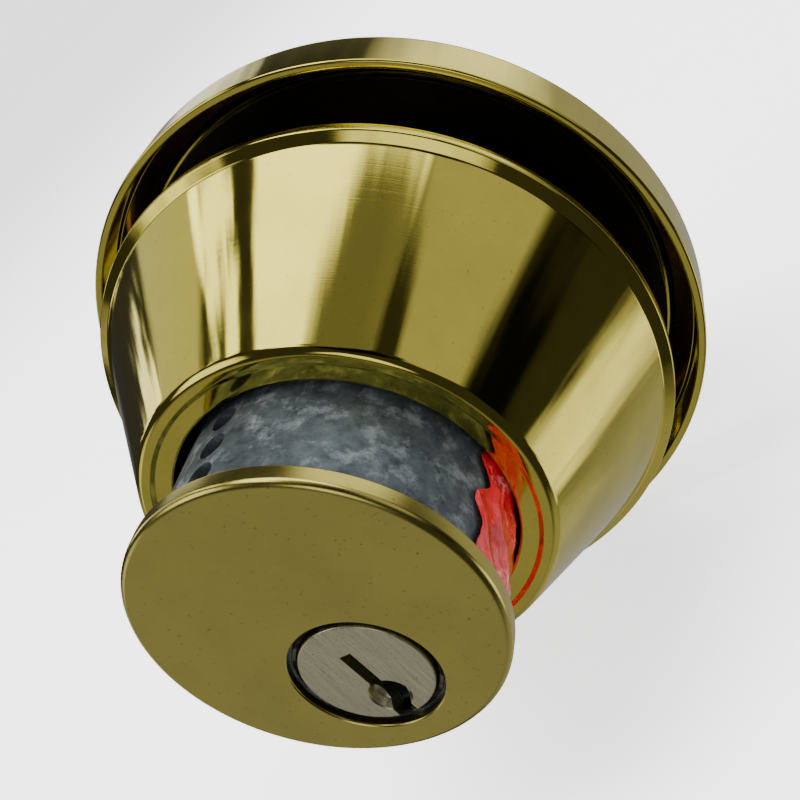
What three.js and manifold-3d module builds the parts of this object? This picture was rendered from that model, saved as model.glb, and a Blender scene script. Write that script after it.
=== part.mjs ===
// Single-cylinder deadbolt: keyed outside half and thumbturn inside half.
// Millimetres, +Z up. The axis shared by plug, tailpiece and thumbturn is the Y axis; the street
// side is toward -Y, the room side toward +Y, and the rose meets the door at Y = 0.
import * as THREE from 'three';
import { mergeVertices } from 'three/addons/utils/BufferGeometryUtils.js';
import Module from 'manifold-3d';

const wasm = await Module();
wasm.setup();

// Driving dimensions
const plugDrop = 7; // plug axis below the axis of cylinder, collar and rose
const loosePlay = 0.3; // gap left around pieces that only lie against each other
const runningPlay = 0.1; // radial gap around pieces that turn or slide in a bore
const roundSides = 60; // sides of the large turned pieces
const smallSides = 16; // sides of pins and holes
const middleSides = 36; // sides of the plug, stem and what turns around them
const pinSides = 12;
const cupSides = 24; // sides of the screws' countersinks
const cornerSteps = 3; // steps in a rounded corner
const cutPast = 1; // how far a cutting shape runs past the surface it cuts
const joinDepth = 0.5; // how far two shapes of one piece run into each other

// Rose (room side)
const roseRadius = 35;
const roseSheet = 0.95;
const roseWall = 6; // height of the straight rim
const roseFace = 8.4; // height of the flat middle
const roseFaceRadius = 28.8;
const roseEdge = 0.7; // rounding where the rim turns in
const roseShoulderIn = 2.2; // top of the slanted shoulder, in from the rim
const roseShoulderRise = 1.9;
const roseBeadIn = 3.1; // middle of the bead, in from the rim
const roseBeadRadius = 0.7;
const roseBeadSink = 0.2; // middle of the bead below the face
const roseGrooveIn = 3.9;
const roseGrooveDepth = 0.1;
const roseRingIn = 5; // raised ring inside the groove, in from the rim
const roseRingHeight = 0.3;
const roseSlant = 0.1; // draft on the small steps
const roseInsideIn = 3.4; // inside corner under the shoulder, in from the rim
const roseInsideRise = 0.4;
const roseInsideDrop = 1;

// Rose plate behind the rose
const rosePlateThickness = 1.6;
const rosePlateMargin = 3;

// Mounting screws' holes
const screwSpacing = 26;
const screwRise = 2.1; // screw line above the plug axis
const screwHeadRadius = 5.15;
const screwClearRadius = 3.1;
const screwThreadRadius = 1.65;
const screwThreadDepth = 14;
const cupNarrowing = 0.9; // how much narrower the countersink is at its bottom
const cupLip = 0.05;
const bossPlay = 0.2; // around a boss that stands in a countersink
const bossRim = 0.4;
const bossStand = 3; // bosses standing out behind the rose plate
const bossWall = 1; // of the rear bosses, beyond the screw head's radius
const padHeight = 0.6; // raised pad around the stem

// Thumbturn
const shaftRadius = 6.4;
const shaftDraft = 0.2;
const shaftEdge = 0.4;
const shaftLength = 6.6;
const thumbLength = 44;
const thumbWidth = 15.4;
const thumbEndWidth = 6;
const thumbThickness = 10.5;
const thumbSoftening = 1.1;
const stemRadius = 4.7;
const stemEdge = 0.4;
const stemGap = 0.7; // from the stem's end to the cap behind the plug
const ringThickness = 0.8;
const ringGroove = 0.7; // depth of a groove that takes a retaining ring
const washerThickness = 0.6;
const washerRadius = stemRadius + 1.7;
const washerPlay = 0.15;
const clipOpening = 4; // width of the gap in a snap ring

// Tailpiece
const bladeHeight = 5.6;
const bladeThickness = 2;
const bladeReach = 21; // how far the blade's tip lies past the rose's rear
const bladePlay = 0.18;
const socketSpare = 1.5; // socket left beyond the blade's tip
const tailHubRadius = 2.2;
const lugSweep = 90;
const lugInset = 0.4; // how far the lug runs into the hub
const tailHeadOverlap = 1;

// Collar (street side)
const rimGap = 6; // from the rose's rear rim to the collar's rear rim, closed up
const collarDepth = 21.2;
const collarRimRadius = 31.5;
const collarFlange = 4.5; // from the bore to the cone's front edge
const collarSheet = 1.6;
const collarCorner = 2;
const collarRecess = 0.5;
const collarPlay = 0.65; // between the film and the collar's bore
const collarBead = 0.5; // rounding of the rear rim
const collarBand = 1.6; // straight part of the rear rim
const collarBandStep = 0.6; // from the band to the slope
const collarRimWidth = 2;
const collarRimDepth = 2.6;
const collarLedge = 0.3; // from the corner to the recessed flange ring
const collarLedgeSlant = 0.4;
const slantFactor = 1.2; // wall measured along the radius over wall measured square to the slope
const collarCornerSteps = 4;

// Cylinder
const bodyRadius = 16;
const bodyLength = 25.4;
const capOverhang = 1.4; // cap standing out past the body all round
const capThickness = 2.2;
const capSheet = 0.8;
const capCorner = 0.7;
const exposedBody = 11; // body seen between collar and cap
const windowMargin = 0.85; // from the plug's face to the cap's window
const faceRecess = 0.35; // plug surround set back from the cap's face
const surroundPlay = 0.15;
const surroundWall = 0.65;
const pocketWidth = 5; // pockets beside the pin chambers
const pocketHeight = 6;
const pocketDepth = 13;
const pocketSpacing = 6.6;
const pocketRise = 6.4;
const filmThickness = 0.25;
const filmStart = -120; // degrees about the cylinder axis, from +X toward +Z
const filmSweep = 122;
const filmPlay = 0.1;
const filmFrontMargin = 0.3;
const filmRearMargin = 3;

// Plug
const plugHeadStep = 0.45; // how much wider the plug's head is
const plugRadius = 5.9;
const plugHeadLength = 2;
const plugTail = 2.8; // plug standing out behind the body
const plugEdge = 0.25;
const clipGap = 0.4; // from the body's rear to the plug's clip
const clipWidth = 2.1;
const keywayWidth = 1.3;
const keywayTop = 2.9;
const keywayShift = 0.5; // lower part of the keyway stepped out to one side
const keywayFlare = 0.3; // and to the other
const keywayWard = -1.2;
const keywayWardSlant = 0.7;
const keywayFlareTop = -2.1;
const keywayFlareSlant = 0.5;
const keywayEndWall = 1.2;
const keyholeDrop = 3.4;
const keyholeRadius = 2;
const keyholeLip = 0.3;
const keyholeDepth = 1.6;
const keyholeStep = 0.9; // depth of the conical part
const keyholeNarrowing = 0.4;
const keyholeTip = 0.4;
const lostMotionDepth = 3;
const lostMotionRadius = 4.7;
const stopSweep = 70;
const tailCapThickness = 1;
const tailCapPlay = 0.2;

// Pin stacks
const pinCount = 5;
const pinPitch = 3.8;
const pinRadius = 1.35;
const chamberPlay = 0.12;
const firstPin = 3; // behind the cap
const keyPinLengths = [6.2, 4.8, 5.6, 4.4, 5.1];
const pinTopGap = 0.22; // from the top of a key pin to the shear line
const pinEdge = 0.2;
const pinTipRadius = 0.45;
const pinPointHeight = 0.6;
const pinDrop = 1; // how far a key pin falls when the key is drawn
const driverPlay = 0.25;
const driverLength = 4.5;
const springPlay = 0.08;
const springSteps = 8; // steps in a turn
const springWireSteps = 4;
const springWire = 0.18;
const springTurns = 5;
const chamberCapDepth = 1.3; // below the body's surface
const chamberCapThickness = 1.3;
const chamberCapPlay = 0.1;

// Bore plate inside the collar
const borePlateRadius = 25;
const borePlateSheet = 1.2;
const borePlateStep = 1.4; // how far it stands out of the collar into the door's bore
const borePlateDepth = 5;
const borePlateBend = 1.4;

// Stations along Y, and sizes that follow from those above
const collarRear = -rimGap;
const collarFront = collarRear - collarDepth;
const capRear = collarFront - exposedBody;
const capFront = capRear - capThickness;
const bodyRear = capRear + bodyLength;
const plugFront = capFront + loosePlay;
const plugRear = bodyRear + plugTail;
const thumbRear = roseFace + loosePlay + shaftLength;
const thumbFront = thumbRear + thumbThickness;
const rosePlateFront = roseFace - roseSheet - loosePlay;
const rosePlateRear = rosePlateFront - rosePlateThickness;
const bladeSweep = Math.hypot(bladeHeight, bladeThickness) / 2;
const collarBore = bodyRadius + filmThickness + collarPlay;
const collarFrontRadius = collarBore + collarFlange;
const capRadius = bodyRadius + capOverhang;
const plugFaceRadius = plugRadius + plugHeadStep;
const capWindow = plugFaceRadius + windowMargin;
const tailCapFront = plugRear + runningPlay;
const tailCapRear = tailCapFront + tailCapThickness;
const stemRear = tailCapRear + stemGap;
const clipFront = bodyRear + clipGap;
const clipRear = clipFront + ringThickness;
const padRear = rosePlateRear - padHeight;
const washerRear = padRear - runningPlay - washerThickness;
const ringRear = washerRear - runningPlay - ringThickness;
const pinTop = plugRadius - pinTopGap;
const pinFloor = pinTop - Math.max(...keyPinLengths) - pinDrop - loosePlay;
const driverBottom = plugRadius + driverPlay;
const driverTop = driverBottom + driverLength;
const chamberCapTop = plugDrop + bodyRadius - chamberCapDepth;
const springBottom = driverTop + springPlay;
const springTop = chamberCapTop - chamberCapThickness - springPlay;

const materials = {
  polishedBrass: { color: 0xb9a04c, roughness: 0.14, metalness: 1 },
  satinBrass: { color: 0xae9a5b, roughness: 0.42, metalness: 1 },
  zinc: { color: 0x555c63, roughness: 0.62, metalness: 0.7 },
  steel: { color: 0x9a9da0, roughness: 0.35, metalness: 1 },
  chromatedSteel: { color: 0x7a5a4e, roughness: 0.28, metalness: 1 },
  redFilm: { color: 0xa81418, roughness: 0.2, metalness: 0 },
};

// ---------------------------------------------------------------- solids

function solidOf(geometry) {
  const bare = geometry.clone();
  bare.deleteAttribute('normal');
  bare.deleteAttribute('uv');
  const merged = mergeVertices(bare, 1e-5);
  const vertProperties = new Float32Array(merged.attributes.position.array);
  const triVerts = new Uint32Array(merged.index.array);
  return new wasm.Manifold(new wasm.Mesh({ numProp: 3, vertProperties, triVerts }));
}

function geometryOf(solid) {
  const mesh = solid.getMesh();
  const geometry = new THREE.BufferGeometry();
  geometry.setAttribute('position', new THREE.BufferAttribute(new Float32Array(mesh.vertProperties), 3));
  geometry.setIndex(new THREE.BufferAttribute(new Uint32Array(mesh.triVerts), 1));
  geometry.computeVertexNormals();
  return geometry;
}

// A profile of [radius, y] points turned about the Y axis, then moved.
function turned(profile, sides, x = 0, z = 0) {
  const points = profile.map(([radius, y]) => new THREE.Vector2(radius, y));
  if (profile[0][0] > 0) {
    points.push(points[0].clone());
  }
  let area = 0;
  for (let i = 0; i < points.length; i += 1) {
    const a = points[i];
    const b = points[(i + 1) % points.length];
    area += a.x * b.y - b.x * a.y;
  }
  if (area < 0) {
    points.reverse();
  }
  const geometry = new THREE.LatheGeometry(points, sides);
  geometry.translate(x, 0, z);
  return solidOf(geometry);
}

function rod(radius, yLow, yHigh, x = 0, z = 0, sides = smallSides) {
  return turned([[0, yLow], [radius, yLow], [radius, yHigh], [0, yHigh]], sides, x, z);
}

function ring(inner, outer, yLow, yHigh, x = 0, z = 0, sides = roundSides) {
  return turned([[inner, yLow], [outer, yLow], [outer, yHigh], [inner, yHigh]], sides, x, z);
}

// An upright pin or hole: a profile of [radius, z] points turned about Z at height y along the lock.
function upright(profile, y, sides = smallSides) {
  const points = profile.map(([radius, z]) => new THREE.Vector2(radius, z));
  const geometry = new THREE.LatheGeometry(points, sides);
  geometry.rotateX(Math.PI / 2);
  geometry.translate(0, y, 0);
  return solidOf(geometry);
}

function block(xSize, ySize, zSize, x, y, z) {
  const geometry = new THREE.BoxGeometry(xSize, ySize, zSize);
  geometry.translate(x, y, z);
  return solidOf(geometry);
}

// A shape drawn in [x, z], given a thickness from yLow to yHigh.
function plate(shape, yLow, yHigh) {
  const options = { depth: yHigh - yLow, bevelEnabled: false, curveSegments: cupSides };
  const geometry = new THREE.ExtrudeGeometry(shape, options);
  geometry.rotateX(Math.PI / 2);
  geometry.translate(0, yHigh, 0);
  return solidOf(geometry);
}

// A pie slice from the inner to the outer radius, centred on one direction, in degrees.
function sector(inner, outer, centre, sweep, yLow, yHigh, x = 0, z = 0) {
  const start = THREE.MathUtils.degToRad(centre - sweep / 2);
  const end = THREE.MathUtils.degToRad(centre + sweep / 2);
  const shape = new THREE.Shape();
  shape.absarc(0, 0, outer, start, end, false);
  shape.absarc(0, 0, inner, end, start, true);
  return plate(shape, yLow, yHigh).translate([x, 0, z]);
}

function arcPoints(centreR, centreY, radius, fromDegrees, toDegrees, steps) {
  const points = [];
  for (let i = 0; i <= steps; i += 1) {
    const angle = THREE.MathUtils.degToRad(fromDegrees + ((toDegrees - fromDegrees) * i) / steps);
    points.push([centreR + radius * Math.cos(angle), centreY + radius * Math.sin(angle)]);
  }
  return points;
}

const screwPlaces = [-screwSpacing / 2, screwSpacing / 2];
const pinPlaces = Array.from({ length: pinCount }, (unused, i) => capRear + firstPin + i * pinPitch);

// ---------------------------------------------------------------- street side

function makeFaceCap() {
  const outer = capRadius;
  const edge = arcPoints(outer - capCorner, capFront + capCorner, capCorner, 0, -90, cornerSteps);
  const shell = turned([
    [0, capFront + capSheet],
    [outer - capSheet, capFront + capSheet],
    [outer - capSheet, capRear],
    [outer, capRear],
    ...edge,
    [0, capFront],
  ], roundSides, 0, plugDrop);
  return shell.subtract(rod(capWindow, capFront - cutPast, capFront + capSheet + cutPast, 0, 0, middleSides));
}

function makeCylinderBody() {
  const headRadius = capRadius - capSheet - loosePlay;
  const headFront = capFront + capSheet + loosePlay;
  let body = turned([
    [0, headFront], [headRadius, headFront], [headRadius, capRear], [bodyRadius, capRear],
    [bodyRadius, bodyRear], [0, bodyRear],
  ], roundSides, 0, plugDrop);
  const surround = capWindow - surroundPlay;
  const surroundFront = capFront + faceRecess;
  const surroundRear = headFront + joinDepth;
  body = body.add(ring(surround - surroundWall, surround, surroundFront, surroundRear, 0, 0, middleSides));
  const headEnd = plugFront + plugHeadLength;
  const headBore = plugFaceRadius + runningPlay;
  body = body.subtract(rod(headBore, capFront - cutPast, headEnd + runningPlay, 0, 0, middleSides));
  const pastRear = bodyRear + cutPast;
  body = body.subtract(rod(plugRadius + runningPlay, headEnd - cutPast, pastRear, 0, 0, middleSides));
  const chamber = pinRadius + chamberPlay;
  const chamberTop = plugDrop + bodyRadius + cutPast;
  for (const y of pinPlaces) {
    body = body.subtract(upright([[0, 0], [chamber, 0], [chamber, chamberTop], [0, chamberTop]], y));
  }
  for (const x of screwPlaces) {
    body = body.subtract(rod(screwThreadRadius, bodyRear - screwThreadDepth, pastRear, x, screwRise));
  }
  const pocketSize = pocketDepth + cutPast;
  for (const side of [-1, 1]) {
    const x = side * pocketSpacing;
    const z = plugDrop + pocketRise;
    body = body.subtract(block(pocketWidth, pocketSize, pocketHeight, x, pastRear - pocketSize / 2, z));
  }
  return body;
}

function makePlug() {
  const headEnd = plugFront + plugHeadLength;
  const grooveFront = clipFront - runningPlay;
  const grooveRear = clipRear + runningPlay;
  let plug = turned([
    [0, plugFront], [plugFaceRadius - plugEdge, plugFront], [plugFaceRadius, plugFront + plugEdge],
    [plugFaceRadius, headEnd], [plugRadius, headEnd], [plugRadius, grooveFront],
    [plugRadius - ringGroove, grooveFront], [plugRadius - ringGroove, grooveRear],
    [plugRadius, grooveRear], [plugRadius, plugRear], [0, plugRear],
  ], middleSides);
  const half = keywayWidth / 2;
  const below = -plugFaceRadius - cutPast;
  const keyway = new THREE.Shape([
    new THREE.Vector2(-half, keywayTop),
    new THREE.Vector2(-half, keywayWard),
    new THREE.Vector2(-half - keywayShift, keywayWard - keywayWardSlant),
    new THREE.Vector2(-half - keywayShift, below),
    new THREE.Vector2(half + keywayFlare, below),
    new THREE.Vector2(half + keywayFlare, keywayFlareTop - keywayFlareSlant),
    new THREE.Vector2(half, keywayFlareTop),
    new THREE.Vector2(half, keywayTop),
  ]);
  const pocketFront = plugRear - lostMotionDepth;
  plug = plug.subtract(plate(keyway, plugFront - cutPast, pocketFront - keywayEndWall));
  plug = plug.subtract(turned([
    [0, plugFront - cutPast], [keyholeRadius + keyholeLip, plugFront - cutPast], [keyholeRadius, plugFront],
    [keyholeRadius - keyholeNarrowing, plugFront + keyholeStep], [keyholeTip, plugFront + keyholeDepth],
    [0, plugFront + keyholeDepth],
  ], smallSides, 0, -keyholeDrop));
  const hole = pinRadius + chamberPlay;
  const holeTop = plugRadius + cutPast;
  for (const y of pinPlaces) {
    plug = plug.subtract(upright([[0, pinFloor], [hole, pinFloor], [hole, holeTop], [0, holeTop]], y));
  }
  plug = plug.subtract(rod(lostMotionRadius, pocketFront, plugRear + cutPast, 0, 0, middleSides));
  const stopInner = bladeSweep + loosePlay;
  const stopOuter = lostMotionRadius + joinDepth;
  const stop = sector(stopInner, stopOuter, 270, stopSweep, pocketFront - joinDepth, plugRear - loosePlay);
  return plug.add(stop);
}

function makeKeyPin(index) {
  const bottom = pinTop - keyPinLengths[index];
  return upright([
    [0, bottom], [pinTipRadius, bottom], [pinRadius, bottom + pinPointHeight],
    [pinRadius, pinTop - pinEdge], [pinRadius - pinEdge, pinTop], [0, pinTop],
  ], pinPlaces[index], pinSides);
}

function makeDriverPin(index) {
  return upright([
    [0, driverBottom], [pinRadius - pinEdge, driverBottom], [pinRadius, driverBottom + pinEdge],
    [pinRadius, driverTop - pinEdge], [pinRadius - pinEdge, driverTop], [0, driverTop],
  ], pinPlaces[index], pinSides);
}

function makePinSpring(index) {
  class Helix extends THREE.Curve {
    getPoint(t, target = new THREE.Vector3()) {
      const angle = t * springTurns * 2 * Math.PI;
      const coil = pinRadius - springWire;
      const low = springBottom + springWire;
      const high = springTop - springWire;
      return target.set(coil * Math.cos(angle), coil * Math.sin(angle), low + (high - low) * t);
    }
  }
  const section = new THREE.Shape();
  section.absarc(0, 0, springWire, 0, 2 * Math.PI, false);
  const steps = springTurns * springSteps;
  const options = { steps, curveSegments: springWireSteps, bevelEnabled: false, extrudePath: new Helix() };
  const geometry = new THREE.ExtrudeGeometry(section, options);
  geometry.translate(0, pinPlaces[index], 0);
  return solidOf(geometry);
}

function makeChamberCap(index) {
  const radius = pinRadius + chamberPlay - chamberCapPlay;
  const low = chamberCapTop - chamberCapThickness;
  const high = chamberCapTop;
  return upright([[0, low], [radius, low], [radius, high], [0, high]], pinPlaces[index], pinSides);
}

function snapRing(inner, width, yLow, yHigh, side) {
  const whole = ring(inner, inner + width, yLow, yHigh, 0, 0, middleSides);
  const middle = side * (inner + width / 2);
  return whole.subtract(block(clipOpening, yHigh - yLow + cutPast, 2 * width, 0, (yLow + yHigh) / 2, middle));
}

function makePlugClip() {
  return snapRing(plugRadius - ringGroove + runningPlay, clipWidth, clipFront, clipRear, 1);
}

function makeTailCap() {
  const inner = bladeSweep + tailCapPlay;
  return ring(inner, plugRadius - tailCapPlay, tailCapFront, tailCapRear, 0, 0, middleSides);
}

function makeTailpiece() {
  const headFront = plugRear - lostMotionDepth + loosePlay;
  const headRear = plugRear - loosePlay;
  const hub = rod(tailHubRadius, headFront, headRear);
  const lugOuter = lostMotionRadius - loosePlay;
  const lug = sector(tailHubRadius - lugInset, lugOuter, 90, lugSweep, headFront, headRear);
  const bladeFront = headFront + tailHeadOverlap;
  const bladeSize = bladeReach - bladeFront;
  const blade = block(bladeThickness, bladeSize, bladeHeight, 0, bladeFront + bladeSize / 2, 0);
  return hub.add(lug).add(blade);
}

function makeFilmWrap() {
  const inner = bodyRadius + filmPlay;
  const centre = filmStart + filmSweep / 2;
  const yLow = capRear + filmFrontMargin;
  const yHigh = bodyRear - filmRearMargin;
  return sector(inner, inner + filmThickness, centre, filmSweep, yLow, yHigh, 0, plugDrop);
}

function collarSlopeRadius(y) {
  const coneFront = collarFront + collarCorner;
  const share = (collarRear - y) / (collarRear - coneFront);
  return collarRimRadius - (collarRimRadius - collarFrontRadius) * share;
}

function makeCollar() {
  const coneFront = collarFront + collarCorner;
  const cornerCentre = collarFrontRadius - collarCorner;
  const corner = arcPoints(cornerCentre, coneFront, collarCorner, 0, -90, collarCornerSteps);
  const ledge = cornerCentre - collarLedge;
  const flange = collarFront + collarRecess;
  const innerFront = flange + collarSheet;
  const slopeEnd = collarRear - collarBand - collarBandStep;
  return turned([
    [collarBore, innerFront],
    [collarSlopeRadius(innerFront) - collarSheet * slantFactor, innerFront],
    [collarRimRadius - collarRimWidth, collarRear - collarRimDepth],
    [collarRimRadius - collarRimWidth, collarRear],
    [collarRimRadius - collarBead, collarRear],
    [collarRimRadius, collarRear - collarBead],
    [collarRimRadius, collarRear - collarBand],
    [collarSlopeRadius(slopeEnd), slopeEnd],
    ...corner,
    [ledge, collarFront],
    [ledge - collarLedgeSlant, flange],
    [collarBore, flange],
  ], roundSides, 0, plugDrop);
}

function makeBorePlate() {
  const face = collarRear + borePlateStep;
  const flangeFace = face - borePlateDepth;
  const flangeRear = flangeFace - borePlateSheet;
  const bend = borePlateBend;
  const outer = borePlateRadius;
  const inner = outer - borePlateSheet;
  const flangeRadius = collarSlopeRadius(flangeRear) - collarSheet * slantFactor - loosePlay;
  return turned([
    [collarBore, face - borePlateSheet],
    [collarBore, face],
    [outer - bend, face],
    ...arcPoints(outer - bend, face - bend, bend, 90, 0, cornerSteps),
    [outer, flangeFace],
    [flangeRadius, flangeFace],
    [flangeRadius, flangeRear],
    [inner, flangeRear],
    [inner, face - borePlateSheet],
  ], roundSides, 0, plugDrop);
}

// ---------------------------------------------------------------- room side

function makeRose() {
  const faceRing = roseFace + roseRingHeight;
  const groove = roseFace - roseGrooveDepth;
  const edgeStart = roseWall - roseEdge;
  const outerProfile = [
    [roseRadius, 0],
    [roseRadius, edgeStart],
    ...arcPoints(roseRadius - roseEdge, edgeStart, roseEdge, 20, 70, 2),
    [roseRadius - roseShoulderIn, roseWall + roseShoulderRise],
    ...arcPoints(roseRadius - roseBeadIn, roseFace - roseBeadSink, roseBeadRadius, 0, 180, 4),
    [roseRadius - roseGrooveIn, groove],
    [roseRadius - roseRingIn, groove],
    [roseRadius - roseRingIn - roseSlant, faceRing],
    [roseFaceRadius + 2 * roseSlant, faceRing],
    [roseFaceRadius, roseFace],
    [0, roseFace],
  ];
  const innerFace = roseFace - roseSheet;
  const innerProfile = [
    [0, innerFace],
    [roseRadius - roseInsideIn, innerFace],
    [roseRadius - roseInsideIn, roseWall + roseInsideRise],
    [roseRadius - roseSheet, roseWall - roseInsideDrop],
    [roseRadius - roseSheet, 0],
  ];
  let rose = turned(innerProfile.concat(outerProfile), roundSides, 0, plugDrop);
  const cupBottom = screwHeadRadius - cupNarrowing;
  const top = roseFace + cutPast;
  rose = rose.subtract(rod(stemRadius + loosePlay, innerFace - cutPast, top, 0, 0, middleSides));
  for (const x of screwPlaces) {
    rose = rose.subtract(turned([
      [0, innerFace - cutPast], [cupBottom, innerFace - cutPast], [cupBottom, innerFace],
      [screwHeadRadius, roseFace + cupLip], [screwHeadRadius, top], [0, top],
    ], cupSides, x, screwRise));
  }
  return rose;
}

function makeRosePlate() {
  const plateRadius = roseRadius - roseSheet - rosePlateMargin;
  const bossRadius = screwHeadRadius - cupNarrowing - bossPlay;
  const bossTop = roseFace - roseSheet + runningPlay;
  const behind = rosePlateRear - bossStand;
  const rearBossRadius = screwHeadRadius + bossWall;
  const intoPlate = rosePlateRear + joinDepth;
  let body = rod(plateRadius, rosePlateRear, rosePlateFront, 0, plugDrop, roundSides);
  for (const x of screwPlaces) {
    body = body.add(rod(bossRadius, rosePlateFront - joinDepth, bossTop, x, screwRise, cupSides));
    body = body.add(rod(rearBossRadius, behind, intoPlate, x, screwRise, cupSides));
  }
  body = body.add(rod(washerRadius, padRear, intoPlate, 0, 0, middleSides));
  for (const x of screwPlaces) {
    body = body.subtract(turned([
      [0, behind - cutPast], [screwClearRadius, behind - cutPast],
      [screwClearRadius, rosePlateFront - bossRim],
      [bossRadius - bossRim, bossTop + runningPlay], [bossRadius - bossRim, roseFace + cutPast],
      [0, roseFace + cutPast],
    ], cupSides, x, screwRise));
  }
  const washerRoom = rod(washerRadius + loosePlay, behind - cutPast, padRear, 0, 0, middleSides);
  const stemHole = rod(stemRadius + runningPlay, behind, rosePlateFront + cutPast, 0, 0, middleSides);
  return body.subtract(washerRoom).subtract(stemHole);
}

function thumbOutline() {
  const halfLength = thumbLength / 2;
  const halfEnd = thumbEndWidth / 2;
  const rise = thumbWidth / 2 - halfEnd;
  const sideRadius = (halfLength * halfLength + rise * rise) / (2 * rise);
  const reach = Math.asin(halfLength / sideRadius);
  const shape = new THREE.Shape();
  shape.absarc(0, thumbWidth / 2 - sideRadius, sideRadius, Math.PI / 2 - reach, Math.PI / 2 + reach, false);
  shape.absarc(0, sideRadius - thumbWidth / 2, sideRadius, -Math.PI / 2 - reach, -Math.PI / 2 + reach, false);
  return shape;
}

function makeThumbTurn() {
  const soft = thumbSoftening;
  const options = {
    depth: thumbThickness - 2 * soft, bevelEnabled: true, bevelThickness: soft, bevelSize: soft,
    bevelOffset: -soft, bevelSegments: cornerSteps, curveSegments: smallSides,
  };
  const geometry = new THREE.ExtrudeGeometry(thumbOutline(), options);
  geometry.rotateX(Math.PI / 2);
  geometry.translate(0, thumbFront - soft, 0);
  let turn = solidOf(geometry);
  const seat = roseFace + loosePlay;
  turn = turn.add(turned([
    [0, seat], [shaftRadius - shaftEdge, seat], [shaftRadius, seat + shaftEdge],
    [shaftRadius - shaftDraft, thumbRear + joinDepth], [0, thumbRear + joinDepth],
  ], middleSides));
  const grooveLow = ringRear - runningPlay;
  const grooveHigh = ringRear + ringThickness + runningPlay;
  turn = turn.add(turned([
    [0, stemRear], [stemRadius - stemEdge, stemRear], [stemRadius, stemRear + stemEdge],
    [stemRadius, grooveLow], [stemRadius - ringGroove, grooveLow],
    [stemRadius - ringGroove, grooveHigh], [stemRadius, grooveHigh],
    [stemRadius, seat + joinDepth], [0, seat + joinDepth],
  ], middleSides));
  const socketEnd = bladeReach + socketSpare;
  const socketSize = socketEnd - stemRear + cutPast;
  const socketWidth = bladeThickness + 2 * bladePlay;
  const socketHeight = bladeHeight + 2 * bladePlay;
  return turn.subtract(block(socketWidth, socketSize, socketHeight, 0, socketEnd - socketSize / 2, 0));
}

function makeFrictionWasher() {
  const inner = stemRadius + washerPlay;
  return ring(inner, washerRadius, washerRear, washerRear + washerThickness, 0, 0, middleSides);
}

function makeRetainingRing() {
  const inner = stemRadius - ringGroove + runningPlay;
  return snapRing(inner, washerRadius - inner, ringRear, ringRear + ringThickness, -1);
}

// ---------------------------------------------------------------- assembly

const lock = new THREE.Group();

function addPiece(name, solid, look) {
  const mesh = new THREE.Mesh(geometryOf(solid), new THREE.MeshStandardMaterial(materials[look]));
  mesh.name = name;
  lock.add(mesh);
}

addPiece('face_cap', makeFaceCap(), 'polishedBrass');
addPiece('cylinder_body', makeCylinderBody(), 'zinc');
addPiece('key_plug', makePlug(), 'satinBrass');
for (let i = 0; i < pinCount; i += 1) {
  addPiece(`key_pin_${i + 1}`, makeKeyPin(i), 'satinBrass');
  addPiece(`driver_pin_${i + 1}`, makeDriverPin(i), 'steel');
  addPiece(`pin_spring_${i + 1}`, makePinSpring(i), 'steel');
  addPiece(`chamber_cap_${i + 1}`, makeChamberCap(i), 'steel');
}
addPiece('plug_clip', makePlugClip(), 'steel');
addPiece('tail_cap', makeTailCap(), 'steel');
addPiece('tailpiece', makeTailpiece(), 'steel');
addPiece('film_wrap', makeFilmWrap(), 'redFilm');
addPiece('collar', makeCollar(), 'polishedBrass');
addPiece('bore_plate', makeBorePlate(), 'chromatedSteel');
addPiece('rose', makeRose(), 'polishedBrass');
addPiece('rose_plate', makeRosePlate(), 'steel');
addPiece('thumb_turn', makeThumbTurn(), 'satinBrass');
addPiece('friction_washer', makeFrictionWasher(), 'steel');
addPiece('retaining_ring', makeRetainingRing(), 'steel');

export default lock;
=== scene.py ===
import math

import bmesh
import bpy
from mathutils import Matrix, Vector, noise


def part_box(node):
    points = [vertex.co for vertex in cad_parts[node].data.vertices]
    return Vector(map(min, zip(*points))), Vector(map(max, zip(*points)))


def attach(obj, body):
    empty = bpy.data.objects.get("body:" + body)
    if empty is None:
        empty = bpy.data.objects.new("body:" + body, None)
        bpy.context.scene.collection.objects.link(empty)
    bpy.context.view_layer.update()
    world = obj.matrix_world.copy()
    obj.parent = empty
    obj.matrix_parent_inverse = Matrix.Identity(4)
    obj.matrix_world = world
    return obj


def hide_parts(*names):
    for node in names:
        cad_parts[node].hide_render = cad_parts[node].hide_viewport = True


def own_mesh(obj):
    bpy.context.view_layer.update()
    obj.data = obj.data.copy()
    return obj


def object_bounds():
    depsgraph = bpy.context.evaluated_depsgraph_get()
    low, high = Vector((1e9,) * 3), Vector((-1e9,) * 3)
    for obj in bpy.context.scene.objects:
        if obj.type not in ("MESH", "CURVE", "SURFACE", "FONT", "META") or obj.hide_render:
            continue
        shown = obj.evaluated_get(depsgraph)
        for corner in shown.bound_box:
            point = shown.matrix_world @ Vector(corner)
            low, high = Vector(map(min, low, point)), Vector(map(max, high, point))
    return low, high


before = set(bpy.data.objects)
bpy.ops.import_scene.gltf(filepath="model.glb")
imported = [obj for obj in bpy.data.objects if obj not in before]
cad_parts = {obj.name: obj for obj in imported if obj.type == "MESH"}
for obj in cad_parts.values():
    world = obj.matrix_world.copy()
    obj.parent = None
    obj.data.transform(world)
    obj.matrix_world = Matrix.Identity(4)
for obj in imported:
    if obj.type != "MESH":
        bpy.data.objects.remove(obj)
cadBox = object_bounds()
print("frame loaded:", len(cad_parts), "nodes")

mm = 0.001
toolReach = 2 * mm  # how far a cutting tool stands past what it cuts
crispEdge = 0.1 * mm
brokenEdge = 0.2 * mm
easedEdge = 0.3 * mm


# shared mesh helpers

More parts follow.
